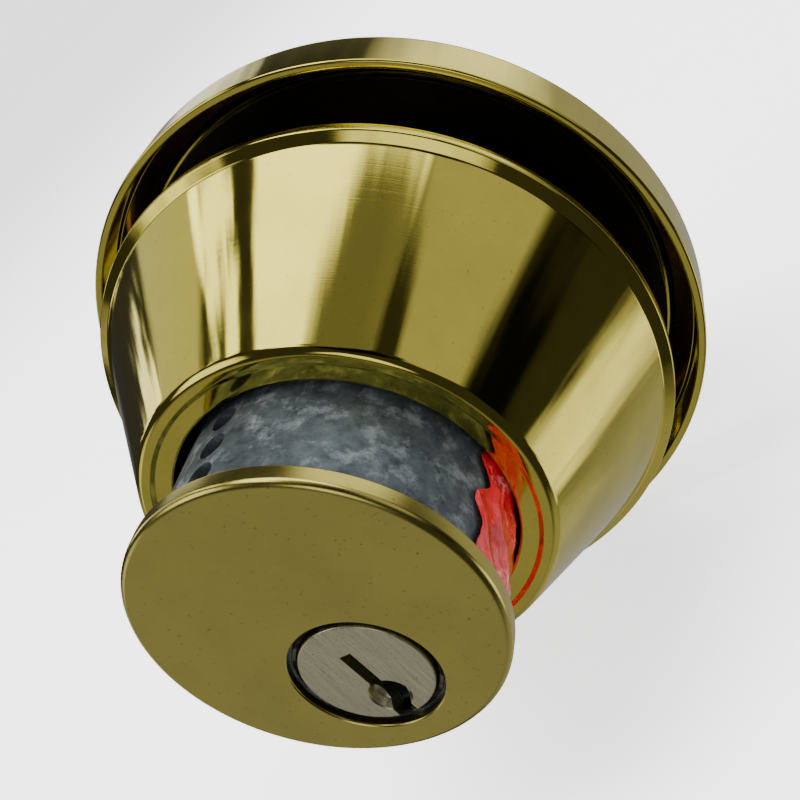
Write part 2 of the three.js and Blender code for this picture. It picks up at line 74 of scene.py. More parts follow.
def softenOutline(corners, steps=6):  # corners are (radius, y, rounding) in metres; ends stay sharp
    outline = []
    for place, (radius, y, rounding) in enumerate(corners):
        here = Vector((radius, y))
        if rounding == 0 or (corners[0][0] == 0 and place in (0, len(corners) - 1)):
            outline.append(here)
            continue
        before = Vector(corners[place - 1][:2]) - here
        after = Vector(corners[(place + 1) % len(corners)][:2]) - here
        half = before.angle(after) / 2
        room = 0.48 * min(before.length, after.length)  # two arcs can share a side
        setback = min(rounding / math.tan(half), room)
        arcRadius = setback * math.tan(half)
        middle = here + (before.normalized() + after.normalized()).normalized() * arcRadius / math.sin(half)
        start = here + before.normalized() * setback - middle
        end = here + after.normalized() * setback - middle
        turn = start.angle_signed(end)  # clockwise is positive
        for step in range(steps + 1):
            spin = Matrix.Rotation(-turn * step / steps, 2)
            outline.append(middle + spin @ start)
    return outline


def turnedMesh(name, corners, sides=192, axis=(0, 0), steps=6):  # turned about a line along Y
    outline = softenOutline(corners, steps)
    shape = bmesh.new()
    rings = []
    for point in outline:
        if point.x < 1e-7:
            rings.append([shape.verts.new((axis[0], point.y, axis[1]))])
            continue
        ring = []
        for side in range(sides):
            angle = 2 * math.pi * side / sides
            x = axis[0] + point.x * math.cos(angle)
            z = axis[1] + point.x * math.sin(angle)
            ring.append(shape.verts.new((x, point.y, z)))
        rings.append(ring)
    pairs = list(zip(rings, rings[1:]))
    if corners[0][0] > 0:
        pairs.append((rings[-1], rings[0]))
    for first, second in pairs:
        for side in range(sides):
            following = (side + 1) % sides
            a = first[side % len(first)]
            b = first[following % len(first)]
            c = second[following % len(second)]
            d = second[side % len(second)]
            loop = [v for k, v in enumerate((a, b, c, d)) if v not in (a, b, c, d)[:k]]
            if len(loop) > 2:
                shape.faces.new(loop)
    return pieceFrom(name, shape)


def prismMesh(name, outline, low, high):  # outline is (x, z), given a thickness along Y
    shape = bmesh.new()
    near = [shape.verts.new((x, low, z)) for x, z in outline]
    far = [shape.verts.new((x, high, z)) for x, z in outline]
    shape.faces.new(near)
    shape.faces.new(far[::-1])
    for k in range(len(outline)):
        following = (k + 1) % len(outline)
        shape.faces.new((near[k], far[k], far[following], near[following]))
    return pieceFrom(name, shape)


def pieceFrom(name, shape):
    bmesh.ops.recalc_face_normals(shape, faces=shape.faces)
    mesh = bpy.data.meshes.new(name)
    shape.to_mesh(mesh)
    shape.free()
    piece = bpy.data.objects.new(name, mesh)
    bpy.context.scene.collection.objects.link(piece)
    return piece


def keepModifiers(piece):  # the evaluated mesh becomes the piece's own
    graph = bpy.context.evaluated_depsgraph_get()
    mesh = bpy.data.meshes.new_from_object(piece.evaluated_get(graph))
    piece.modifiers.clear()
    old = piece.data
    piece.data = mesh
    mesh.name = piece.name
    bpy.data.meshes.remove(old)


def carve(piece, tools, operation="DIFFERENCE"):
    for tool in tools:
        cut = piece.modifiers.new("cut", "BOOLEAN")
        cut.object = tool
        cut.operation = operation
        cut.solver = "EXACT"
    keepModifiers(piece)
    for tool in tools:
        bpy.data.objects.remove(tool)


def smoothPiece(piece, sharpAbove=32, bevelWidth=0.0, bevelSteps=3):
    if bevelWidth:
        bevel = piece.modifiers.new("bevel", "BEVEL")
        bevel.width = bevelWidth
        bevel.segments = bevelSteps
        bevel.limit_method = "ANGLE"
        bevel.angle_limit = math.radians(sharpAbove)
        bevel.use_clamp_overlap = True
        keepModifiers(piece)
    piece.data.shade_smooth()
    piece.data.set_sharp_from_angle(angle=math.radians(sharpAbove))
    weigh = piece.modifiers.new("weigh", "WEIGHTED_NORMAL")
    weigh.keep_sharp = True
    weigh.weight = 80
    keepModifiers(piece)


def softenedCopy(node, name, bevelWidth, sharpAbove=28):  # a CAD node with its edges broken
    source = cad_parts[node]
    shape = bmesh.new()
    shape.from_mesh(source.data)
    bmesh.ops.remove_doubles(shape, verts=shape.verts, dist=2e-6)
    bmesh.ops.dissolve_limit(shape, angle_limit=math.radians(1.5), verts=shape.verts, edges=shape.edges)
    piece = pieceFrom(name, shape)
    smoothPiece(piece, sharpAbove, bevelWidth)
    return piece


def fit(piece, material, body, slot, *nodes):
    piece.data.materials.clear()
    piece.data.materials.append(material)
    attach(piece, body)
    if nodes:
        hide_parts(*nodes)


# shader groups, each built once

def startGroup(name, inputs, outputs):
    group = bpy.data.node_groups.new(name, "ShaderNodeTree")
    for label, kind, value in inputs:
        socket = group.interface.new_socket(name=label, in_out="INPUT", socket_type=kind)
        if value is not None:
            socket.default_value = value
    for label, kind in outputs:
        group.interface.new_socket(name=label, in_out="OUTPUT", socket_type=kind)
    entry = group.nodes.new("NodeGroupInput")
    leave = group.nodes.new("NodeGroupOutput")
    return group, entry, leave


def mathNode(tree, operation, first, second=None, clamp=False):
    node = tree.nodes.new("ShaderNodeMath")
    node.operation = operation
    node.use_clamp = clamp
    for socket, value in zip(node.inputs, (first, second)):
        if value is None:
            continue
        if isinstance(value, (int, float)):
            socket.default_value = value
        else:
            tree.links.new(value, socket)
    return node.outputs[0]


def noiseNode(tree, vector, scale, detail=4.0, roughness=0.5, dimensions="3D"):
    node = tree.nodes.new("ShaderNodeTexNoise")
    node.noise_dimensions = dimensions
    node.inputs["Detail"].default_value = detail
    node.inputs["Roughness"].default_value = roughness
    target = node.inputs["W"] if dimensions == "1D" else node.inputs["Vector"]
    tree.links.new(vector, target)
    if isinstance(scale, (int, float)):
        node.inputs["Scale"].default_value = scale
    else:
        tree.links.new(scale, node.inputs["Scale"])
    return node.outputs["Fac"]


def rangeNode(tree, value, fromLow, fromHigh, toLow, toHigh):
    node = tree.nodes.new("ShaderNodeMapRange")
    node.clamp = True
    limits = {"From Min": fromLow, "From Max": fromHigh, "To Min": toLow, "To Max": toHigh}
    for label, number in limits.items():
        if isinstance(number, (int, float)):
            node.inputs[label].default_value = number
        else:
            tree.links.new(number, node.inputs[label])
    tree.links.new(value, node.inputs["Value"])
    return node.outputs["Result"]


def makeLathePolish():  # fine rings left by polishing on the lathe, around a line along Y
    group, entry, leave = startGroup(
        "lathePolish",
        [("Position", "NodeSocketVector", None), ("Lines Per Metre", "NodeSocketFloat", 9000.0)],
        [("Height", "NodeSocketFloat")],
    )
    split = group.nodes.new("ShaderNodeSeparateXYZ")
    group.links.new(entry.outputs["Position"], split.inputs[0])
    across = mathNode(group, "ADD", mathNode(group, "POWER", split.outputs["X"], 2.0),
                      mathNode(group, "POWER", split.outputs["Z"], 2.0))
    along = mathNode(group, "ADD", mathNode(group, "SQRT", across), split.outputs["Y"])
    lines = noiseNode(group, along, entry.outputs["Lines Per Metre"], 3.0, 0.7, "1D")
    group.links.new(lines, leave.inputs["Height"])
    return group


def makeHandling():  # smudges and faint haze where the metal has been held
    group, entry, leave = startGroup(
        "handlingMarks",
        [("Position", "NodeSocketVector", None), ("Size", "NodeSocketFloat", 160.0)],
        [("Smudge", "NodeSocketFloat"), ("Specks", "NodeSocketFloat")],
    )
    broad = noiseNode(group, entry.outputs["Position"], entry.outputs["Size"], 5.0, 0.62)
    smudge = rangeNode(group, broad, 0.42, 0.7, 0.0, 1.0)
    fineScale = mathNode(group, "MULTIPLY", entry.outputs["Size"], 22.0)
    fine = noiseNode(group, entry.outputs["Position"], fineScale, 2.0, 0.6)
    specks = rangeNode(group, fine, 0.66, 0.74, 0.0, 1.0)
    group.links.new(smudge, leave.inputs["Smudge"])
    group.links.new(specks, leave.inputs["Specks"])
    return group


def makeCastGrain():  # the pebbled skin of a casting
    group, entry, leave = startGroup(
        "castGrain",
        [("Position", "NodeSocketVector", None), ("Grains Per Metre", "NodeSocketFloat", 2200.0)],
        [("Height", "NodeSocketFloat"), ("Mottle", "NodeSocketFloat")],
    )
    grain = noiseNode(group, entry.outputs["Position"], entry.outputs["Grains Per Metre"], 3.0, 0.65)
    coarse = mathNode(group, "MULTIPLY", entry.outputs["Grains Per Metre"], 0.22)
    mottle = noiseNode(group, entry.outputs["Position"], coarse, 6.0, 0.7)
    group.links.new(grain, leave.inputs["Height"])
    group.links.new(rangeNode(group, mottle, 0.3, 0.7, 0.0, 1.0), leave.inputs["Mottle"])
    return group


def makeEdgeWear():  # lighter, rubbed edges
    group, entry, leave = startGroup(
        "edgeWear",
        [("Position", "NodeSocketVector", None), ("Sharpness", "NodeSocketFloat", 0.55)],
        [("Wear", "NodeSocketFloat")],
    )
    geometry = group.nodes.new("ShaderNodeNewGeometry")
    upper = mathNode(group, "ADD", entry.outputs["Sharpness"], 0.08)
    edges = rangeNode(group, geometry.outputs["Pointiness"], entry.outputs["Sharpness"], upper, 0.0, 1.0)
    broken = noiseNode(group, entry.outputs["Position"], 700.0, 4.0, 0.6)
    wear = mathNode(group, "MULTIPLY", edges, rangeNode(group, broken, 0.35, 0.6, 0.25, 1.0))
    group.links.new(wear, leave.inputs["Wear"])
    return group


lathePolish = makeLathePolish()
handlingMarks = makeHandling()
castGrain = makeCastGrain()
edgeWear = makeEdgeWear()


def startMaterial(name, centre=(0, 0, 0)):
    material = bpy.data.materials.new(name)
    material.use_nodes = True
    tree = material.node_tree
    shader = tree.nodes["Principled BSDF"]
    coordinates = tree.nodes.new("ShaderNodeTexCoord")
    mapping = tree.nodes.new("ShaderNodeMapping")
    mapping.inputs["Location"].default_value = [-value for value in centre]
    tree.links.new(coordinates.outputs["Object"], mapping.inputs["Vector"])
    return material, tree, shader, mapping.outputs["Vector"]


def useGroup(tree, group, position, **values):
    node = tree.nodes.new("ShaderNodeGroup")
    node.node_tree = group
    tree.links.new(position, node.inputs["Position"])
    for label, value in values.items():
        node.inputs[label.replace("_", " ")].default_value = value
    return node.outputs


def mixColour(tree, mask, first, second):
    node = tree.nodes.new("ShaderNodeMix")
    node.data_type = "RGBA"
    tree.links.new(mask, node.inputs["Factor"])
    for socket, value in ((node.inputs[6], first), (node.inputs[7], second)):
        if isinstance(value, tuple):
            socket.default_value = (*value, 1)
        else:
            tree.links.new(value, socket)
    return node.outputs[2]


def bumpFrom(tree, shader, height, distance, strength=1.0):
    bump = tree.nodes.new("ShaderNodeBump")
    bump.inputs["Distance"].default_value = distance
    bump.inputs["Strength"].default_value = strength
    tree.links.new(height, bump.inputs["Height"])
    tree.links.new(bump.outputs["Normal"], shader.inputs["Normal"])


def makeBrass(name, settings, centre):
    material, tree, shader, position = startMaterial(name, centre)
    shader.inputs["Metallic"].default_value = 1.0
    polish = useGroup(tree, lathePolish, position, Lines_Per_Metre=settings["lines"])
    marks = useGroup(tree, handlingMarks, position, Size=settings["smudgeSize"])
    smudged = mixColour(tree, marks["Smudge"], settings["colour"], settings["dull"])
    flecks = mathNode(tree, "MULTIPLY", marks["Specks"], settings["specks"])
    speckled = mixColour(tree, flecks, smudged, (0.16, 0.12, 0.05))
    tree.links.new(speckled, shader.inputs["Base Color"])
    low, high = settings["roughness"]
    tree.links.new(rangeNode(tree, marks["Smudge"], 0.0, 1.0, low, high), shader.inputs["Roughness"])
    bumpFrom(tree, shader, polish["Height"], settings["lineDepth"])
    return material


polishedBrassLook = {
    "colour": (0.82, 0.70, 0.12), "dull": (0.70, 0.60, 0.11), "specks": 0.3,
    "lines": 5200.0, "lineDepth": 0.0000012, "smudgeSize": 95.0, "roughness": (0.04, 0.09),
}
faceBrassLook = dict(polishedBrassLook, colour=(0.72, 0.62, 0.15), dull=(0.64, 0.55, 0.14), specks=0.45,
                     roughness=(0.2, 0.27))


def makeBrushedPlugBrass(settings):
    material, tree, shader, position = startMaterial("brushedPlugBrass")
    shader.inputs["Metallic"].default_value = 1.0
    squeeze = tree.nodes.new("ShaderNodeMapping")
    squeeze.inputs["Scale"].default_value = settings["stretch"]
    tree.links.new(position, squeeze.inputs["Vector"])
    strokes = noiseNode(tree, squeeze.outputs["Vector"], settings["strokes"], 4.0, 0.75)
    marks = useGroup(tree, handlingMarks, position, Size=240.0)
    shade = rangeNode(tree, strokes, 0.3, 0.7, 0.0, 1.0)
    tone = mixColour(tree, shade, settings["dark"], settings["light"])
    tree.links.new(mixColour(tree, marks["Specks"], tone, (0.1, 0.08, 0.04)), shader.inputs["Base Color"])
    tree.links.new(rangeNode(tree, strokes, 0.3, 0.7, 0.24, 0.44), shader.inputs["Roughness"])
    bumpFrom(tree, shader, strokes, settings["depth"])
    return material


def makeCastBrass(settings):
    material, tree, shader, position = startMaterial("satinCastBrass")
    shader.inputs["Metallic"].default_value = 1.0
    grain = useGroup(tree, castGrain, position, Grains_Per_Metre=settings["grains"])
    wear = useGroup(tree, edgeWear, position, Sharpness=0.57)
    tone = mixColour(tree, grain["Mottle"], settings["dull"], settings["colour"])
    tree.links.new(mixColour(tree, wear["Wear"], tone, settings["bright"]), shader.inputs["Base Color"])
    tree.links.new(rangeNode(tree, grain["Mottle"], 0.0, 1.0, 0.33, 0.24), shader.inputs["Roughness"])
    bumpFrom(tree, shader, grain["Height"], settings["depth"])
    return material


def makeZinc(settings):
    material, tree, shader, position = startMaterial("rawZinc")
    shader.inputs["Metallic"].default_value = 0.85
    grain = useGroup(tree, castGrain, position, Grains_Per_Metre=settings["grains"])
    bloom = noiseNode(tree, position, settings["bloom"], 5.0, 0.7)
    tone = mixColour(tree, grain["Mottle"], settings["dark"], settings["light"])
    cloud = mixColour(tree, rangeNode(tree, bloom, 0.5, 0.66, 0.0, 0.8), tone, settings["chalk"])
    tree.links.new(cloud, shader.inputs["Base Color"])
    tree.links.new(rangeNode(tree, bloom, 0.3, 0.7, 0.38, 0.66), shader.inputs["Roughness"])
    bumpFrom(tree, shader, grain["Height"], settings["depth"])
    return material


def makeSteel(name, settings):
    material, tree, shader, position = startMaterial(name)
    shader.inputs["Metallic"].default_value = 1.0
    grain = useGroup(tree, castGrain, position, Grains_Per_Metre=settings["grains"])
    wear = useGroup(tree, edgeWear, position, Sharpness=0.56)
    tone = mixColour(tree, grain["Mottle"], settings["dark"], settings["light"])
    tree.links.new(mixColour(tree, wear["Wear"], tone, settings["bright"]), shader.inputs["Base Color"])
    gloss = rangeNode(tree, grain["Mottle"], 0.0, 1.0, *settings["roughness"])
    tree.links.new(gloss, shader.inputs["Roughness"])
    bumpFrom(tree, shader, grain["Height"], settings["depth"])
    return material


def makeChromate(settings, centre):  # yellow chromate on steel drifts through gold, pink and purple
    material, tree, shader, position = startMaterial("chromatedSteel", centre)
    shader.inputs["Metallic"].default_value = 1.0
    drift = noiseNode(tree, position, settings["drift"], 3.0, 0.55)
    ramp = tree.nodes.new("ShaderNodeValToRGB")
    tree.links.new(rangeNode(tree, drift, *settings["spread"], 0.0, 1.0), ramp.inputs["Fac"])
    stops = settings["stops"]
    ramp.color_ramp.elements[0].position, ramp.color_ramp.elements[1].position = stops[0][0], stops[-1][0]
    ramp.color_ramp.elements[0].color = (*stops[0][1], 1)
    ramp.color_ramp.elements[1].color = (*stops[-1][1], 1)
    for place, colour in stops[1:-1]:
        ramp.color_ramp.elements.new(place).color = (*colour, 1)
    tree.links.new(ramp.outputs["Color"], shader.inputs["Base Color"])
    polish = useGroup(tree, lathePolish, position, Lines_Per_Metre=3800.0)
    marks = useGroup(tree, handlingMarks, position, Size=180.0)
    tree.links.new(rangeNode(tree, marks["Smudge"], 0.0, 1.0, 0.2, 0.38), shader.inputs["Roughness"])
    bumpFrom(tree, shader, polish["Height"], 0.000006)
    return material


def makeFilm(settings):
    material, tree, shader, position = startMaterial("redFilm")
    shader.inputs["Coat Weight"].default_value = 0.7
    shader.inputs["Coat Roughness"].default_value = 0.06
    bent = tree.nodes.new("ShaderNodeVectorMath")
    bent.operation = "MULTIPLY_ADD"
    warp = tree.nodes.new("ShaderNodeTexNoise")
    warp.inputs["Scale"].default_value = settings["warpScale"]
    tree.links.new(position, warp.inputs["Vector"])
    tree.links.new(warp.outputs["Color"], bent.inputs[0])
    bent.inputs[1].default_value = settings["warp"]
    tree.links.new(position, bent.inputs[2])
    creases = tree.nodes.new("ShaderNodeTexVoronoi")
    creases.feature = "DISTANCE_TO_EDGE"
    creases.inputs["Scale"].default_value = settings["creaseScale"]
    tree.links.new(bent.outputs["Vector"], creases.inputs["Vector"])
    folds = rangeNode(tree, creases.outputs["Distance"], 0.0, 0.35, 1.0, 0.0)
    patches = noiseNode(tree, position, settings["patchScale"], 5.0, 0.65)
    # a whitish painted highlight along the creases, in patches, mixed into the red
    foldHighlightMask = mathNode(tree, "MULTIPLY", rangeNode(tree, creases.outputs["Distance"], 0.0, 0.06, 1.0, 0.0),
                      rangeNode(tree, patches, 0.54, 0.66, 0.0, 0.8))
    shade = rangeNode(tree, patches, 0.3, 0.7, 0.0, 1.0)
    tone = mixColour(tree, shade, settings["dark"], settings["colour"])
    tree.links.new(mixColour(tree, foldHighlightMask, tone, settings["paintedFoldHighlight"]), shader.inputs["Base Color"])
    tree.links.new(rangeNode(tree, patches, 0.4, 0.7, 0.14, 0.34), shader.inputs["Roughness"])
    bumpFrom(tree, shader, mathNode(tree, "ADD", folds, patches), settings["foldDepth"])
    return material


capLow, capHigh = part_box("face_cap")
roseLow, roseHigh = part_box("rose")
axisHeight = (roseLow.z + roseHigh.z) / 2  # cylinder, collar and rose share this height
coverAxis = (0.0, axisHeight)
coverCentre = (0.0, 0.0, axisHeight)
screwRise = 2.1 * mm  # both mounting screws lie this far above the plug
screwSpacing = 26 * mm

polishedBrass = makeBrass("polishedBrass", polishedBrassLook, coverCentre)
faceBrass = makeBrass("faceBrass", faceBrassLook, coverCentre)
plugBrass = makeBrushedPlugBrass({
    "stretch": (1.0, 1.0, 0.06), "strokes": 5200.0, "depth": 0.00001,
    "dark": (0.60, 0.55, 0.32), "light": (0.96, 0.92, 0.66),
})
castBrass = makeCastBrass({
    "grains": 2600.0, "depth": 0.000016, "colour": (0.78, 0.68, 0.20), "dull": (0.66, 0.57, 0.17),
    "bright": (0.95, 0.88, 0.48),
})
rawZinc = makeZinc({
    "grains": 2400.0, "bloom": 420.0, "depth": 0.000022,
    "dark": (0.055, 0.068, 0.078), "light": (0.17, 0.20, 0.215), "chalk": (0.37, 0.41, 0.42),
})
plainSteel = makeSteel("plainSteel", {
    "grains": 1800.0, "depth": 0.000008, "dark": (0.34, 0.34, 0.34), "light": (0.52, 0.52, 0.51),
    "bright": (0.75, 0.75, 0.74), "roughness": (0.42, 0.26),
})
# near-black steel: painted shade on the ring round the plug and on the rose plate inside the rose; also the
# colour of the chamber caps
darkSteelAndShade = makeSteel("blackSteelAndShade", {
    "grains": 1400.0, "depth": 0.00001, "dark": (0.018, 0.017, 0.014), "light": (0.05, 0.047, 0.038),
    "bright": (0.3, 0.28, 0.22), "roughness": (0.5, 0.34),
})
chromate = makeChromate({
    "drift": 55.0, "spread": (0.28, 0.72),
    "stops": [(0.2, (0.10, 0.035, 0.03)), (0.38, (0.26, 0.11, 0.10)), (0.5, (0.52, 0.27, 0.30)),
              (0.62, (0.66, 0.46, 0.22)), (0.8, (0.50, 0.44, 0.14))],
}, coverCentre)
film = makeFilm({
    "creaseScale": 210.0, "patchScale": 240.0, "warpScale": 300.0, "warp": (0.006, 0.006, 0.006),
    "foldDepth": 0.00016, "colour": (0.42, 0.006, 0.012), "dark": (0.16, 0.002, 0.005),
    # whitish colour of the painted highlight on the folds
    "paintedFoldHighlight": (0.62, 0.26, 0.25),
})
print("materials made:", len(bpy.data.materials))


# face cap

capSettings = {"sheet": 0.8 * mm, "rounding": 0.75 * mm, "window": 7.2 * mm, "windowLip": 0.2 * mm}


def buildFaceCap(s):
    radius = (capHigh.x - capLow.x) / 2
    front, rear = capLow.y, capHigh.y
    cap = turnedMesh("faceCap", [
        (0, front, 0),
        (radius, front, s["rounding"]),
        (radius, rear, brokenEdge),
        (radius - s["sheet"], rear, brokenEdge),
        (radius - s["sheet"], front + s["sheet"], easedEdge),
        (0, front + s["sheet"], 0),
    ], axis=coverAxis)
    window = turnedMesh("windowTool", [
        (0, front - toolReach, 0),
        (s["window"] + 2 * s["windowLip"] + toolReach, front - toolReach, 0),
        (s["window"], front + s["windowLip"] * 0.6, s["windowLip"]),
        (s["window"], front + toolReach, 0),
        (0, front + toolReach, 0),
    ], sides=128)
    carve(cap, [window])
    smoothPiece(cap)
    fit(cap, faceBrass, "cylinder", "polished_brass", "face_cap")


buildFaceCap(capSettings)
print("face cap built")


# key plug and cylinder body

plugSettings = {
    "headLength": 2.0 * mm, "bodyRadius": 5.9 * mm, "edge": 0.22 * mm, "keywayWidth": 1.3 * mm,
    "keywayTop": 2.9 * mm, "ward": 0.5 * mm, "rearWard": 0.3 * mm, "keyholeDrop": 3.4 * mm,
    "keyholeRadius": 2.0 * mm, "pinHole": 1.45 * mm,
    "pinFloor": -1.9 * mm, "pocket": 4.7 * mm, "pocketDepth": 3.0 * mm, "stopInner": 3.27 * mm,
    "stopSweep": 70,
}
pinPlaces = [sum(corner.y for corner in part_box(f"key_pin_{k}")) / 2 for k in range(1, 6)]


def uprightTool(name, radius, place, low, high, sides=32):
    shape = bmesh.new()
    spot = Matrix.Translation((0, place, (low + high) / 2))
    bmesh.ops.create_cone(shape, cap_ends=True, segments=sides, radius1=radius, radius2=radius,
                          depth=high - low, matrix=spot)
    return pieceFrom(name, shape)


def buildKeyPlug(s):
    low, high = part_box("key_plug")
    radius = high.x
    headEnd = low.y + s["headLength"]
    body = s["bodyRadius"]
    plug = turnedMesh("keyPlug", [
        (0, low.y, 0),
        (radius, low.y, s["edge"]),
        (radius, headEnd, crispEdge),
        (body, headEnd, 0),
        (body, high.y, brokenEdge),
        (0, high.y, 0),
    ], sides=128)
    half = s["keywayWidth"] / 2
    keyway = prismMesh("keywayTool", [
        (-half, s["keywayTop"]), (-half, -1.2 * mm), (-half - s["ward"], -1.9 * mm),
        (-half - s["ward"], -radius - toolReach), (half + s["rearWard"], -radius - toolReach),
        (half + s["rearWard"], -2.6 * mm), (half, -2.1 * mm), (half, s["keywayTop"]),
    ], low.y - toolReach, high.y - 4.5 * mm)
    hole = s["keyholeRadius"]
    mouth = turnedMesh("keyholeTool", [
        (0, low.y - toolReach, 0),
        (hole + toolReach, low.y - toolReach, 0),
        (hole, low.y + 0.12 * mm, easedEdge),
        (hole * 0.82, low.y + 0.9 * mm, 0.4 * mm),
        (0.3 * mm, low.y + 1.7 * mm, easedEdge),
        (0, low.y + 1.75 * mm, 0),
    ], sides=64, axis=(0, -s["keyholeDrop"]))
    pins = [uprightTool(f"pinTool{k}", s["pinHole"], place, s["pinFloor"], 8 * mm)
            for k, place in enumerate(pinPlaces)]
    stopStart, stopEnd = 270 - s["stopSweep"] // 2, 270 + s["stopSweep"] // 2
    pocketOutline = []
    for degrees in range(0, 360, 2):
        away = s["stopInner"] if stopStart <= degrees <= stopEnd else s["pocket"]
        angle = math.radians(degrees)
        pocketOutline.append((away * math.cos(angle), away * math.sin(angle)))
    pocket = prismMesh("pocketTool", pocketOutline, high.y - s["pocketDepth"], high.y + toolReach)
    carve(plug, [keyway, mouth, pocket] + pins)
    smoothPiece(plug)
    fit(plug, plugBrass, "plug", "satin_brass", "key_plug")


buildKeyPlug(plugSettings)

bodySettings = {
    "barrel": 16.0 * mm, "headBore": 6.47 * mm, "bore": 6.02 * mm,
    "chamber": 1.47 * mm, "thread": 1.65 * mm, "threadDepth": 13 * mm,
    "edge": 0.35 * mm, "surround": 7.02 * mm, "surroundFront": 1.0 * mm,
    "ringMargin": 0.1 * mm,
}


def buildCylinderBody(s):
    low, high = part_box("cylinder_body")
    headRadius = (high.x - low.x) / 2
    headFront = capLow.y + capSettings["sheet"] + 0.3 * mm
    body = turnedMesh("cylinderBody", [
        (0, headFront, 0),
        (headRadius, headFront, brokenEdge),
        (headRadius, capHigh.y, crispEdge),
        (s["barrel"], capHigh.y + 0.02 * mm, 0),
        (s["barrel"], high.y, s["edge"]),
        (0, high.y, 0),
    ], axis=coverAxis)
    ring = turnedMesh("plugRing", [
        (s["headBore"] + 0.05 * mm, headFront + 0.5 * mm, 0),
        (s["surround"], headFront + 0.5 * mm, 0),
        (s["surround"], capLow.y + s["surroundFront"], crispEdge),
        (s["headBore"] + 0.05 * mm, capLow.y + s["surroundFront"], crispEdge),
    ], sides=128)
    carve(body, [ring], "UNION")
    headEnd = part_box("key_plug")[0].y + plugSettings["headLength"] + 0.1 * mm
    bore = turnedMesh("boreTool", [
        (0, low.y - toolReach, 0), (s["headBore"], low.y - toolReach, 0), (s["headBore"], headEnd, 0),
        (s["bore"], headEnd, 0), (s["bore"], high.y + toolReach, 0), (0, high.y + toolReach, 0),
    ], sides=128)
    tools = [bore]
    top = axisHeight + s["barrel"]
    for k, place in enumerate(pinPlaces):
        tools.append(uprightTool(f"chamberTool{k}", s["chamber"], place, 0, top + toolReach, 40))
    for side in (-1, 1):
        tools.append(turnedMesh(f"threadTool{side + 1}", [
            (0, high.y - s["threadDepth"], 0), (s["thread"], high.y - s["threadDepth"], 0),
            (s["thread"], high.y - 0.3 * mm, 0), (s["thread"] + 0.3 * mm, high.y, 0),
            (s["thread"] + 0.3 * mm, high.y + toolReach, 0), (0, high.y + toolReach, 0),
        ], sides=32, axis=(side * screwSpacing / 2, screwRise)))
    carve(body, tools)
    smoothPiece(body)
    fit(body, rawZinc, "cylinder", "zinc", "cylinder_body")
    body.data.materials.append(darkSteelAndShade)
    for face in body.data.polygons:  # the ring round the plug gets the near-black steel as painted shade in its recess
        away = math.hypot(face.center.x, face.center.z)
        face.material_index = int(face.center.y < capHigh.y and away < s["surround"] + s["ringMargin"])


buildCylinderBody(bodySettings)
print("cylinder and plug built")


# collar and bore plate

collarBore = 16.9 * mm  # collar and bore plate slide on the cylinder through the same hole
collarSettings = {
    "sheet": 1.6 * mm, "frontRadius": 21.4 * mm, "corner": 2.0 * mm, "recess": 0.5 * mm,
    "ledge": 0.3 * mm, "bead": 0.5 * mm, "beadWidth": 1.6 * mm, "rimWidth": 2.0 * mm,
    "rimDepth": 2.6 * mm, "beadFoot": 2.2 * mm, "noseStart": 0.55 * mm, "noseRounding": 1.6 * mm,
    "ledgeWidth": 1.0 * mm, "ledgeStep": 0.4 * mm,
}


def buildCollar(s):
    low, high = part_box("collar")
    rim = (high.x - low.x) / 2
    rear, front = high.y, low.y
    coneFront = front + s["corner"]

    def slope(y):
        return rim - (rim - s["frontRadius"]) * (rear - y) / (rear - coneFront)

    ledge = s["frontRadius"] - s["corner"] - s["ledge"]
    innerFront = front + s["sheet"] + s["recess"]
    beadFoot = rear - s["beadFoot"]
    nose = front + s["noseStart"]
    collar = turnedMesh("collarShell", [
        (collarBore, innerFront, brokenEdge),
        (slope(innerFront) - 1.2 * s["sheet"], innerFront, 1.0 * mm),
        (rim - s["rimWidth"], rear - s["rimDepth"], 0.4 * mm),
        (rim - s["rimWidth"], rear, easedEdge),
        (rim, rear, s["bead"]),
        (rim, rear - s["beadWidth"], easedEdge),
        (slope(beadFoot), beadFoot, s["bead"]),
        (slope(nose), nose, s["noseRounding"]),
        (ledge + s["ledgeWidth"], front, 0.9 * s["ledgeWidth"]),
        (ledge, front, 0.25 * mm),
        (ledge - s["ledgeStep"], front + s["recess"], 0.25 * mm),
        (collarBore, front + s["recess"], easedEdge),
    ], sides=256, axis=coverAxis, steps=8)
    smoothPiece(collar)
    fit(collar, polishedBrass, "collar", "polished_brass", "collar")


buildCollar(collarSettings)

plateSettings = {"bend": 1.6 * mm, "sheet": 1.2 * mm, "cup": 25 * mm}


def buildBorePlate(s):
    low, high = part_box("bore_plate")
    outer = (high.x - low.x) / 2
    cup = s["cup"]
    plate = turnedMesh("borePlate", [
        (collarBore, high.y - s["sheet"], brokenEdge),
        (collarBore, high.y, 0.4 * mm),
        (cup, high.y, s["bend"]),
        (cup, low.y + s["sheet"], 0.6 * mm),
        (outer, low.y + s["sheet"], easedEdge),
        (outer, low.y, easedEdge),
        (cup - s["sheet"], low.y, 0.8 * mm),
        (cup - s["sheet"], high.y - s["sheet"], 0.7 * mm),
    ], sides=192, axis=coverAxis, steps=7)
    smoothPiece(plate)
    fit(plate, chromate, "plate", "chromated_steel", "bore_plate")


buildBorePlate(plateSettings)
print("collar and bore plate built")


# red film, creased round the cylinder

filmSettings = {
    "radius": 16.16 * mm, "outerMost": 16.72 * mm, "thickness": 0.06 * mm, "from": -119.0, "sweep": 114.0,
    "across": 180, "along": 72, "crease": 0.46 * mm, "ragged": 0.5 * mm, "torn": 6.0,
    "frontGap": 0.6 * mm, "rearGap": 0.2 * mm,
}


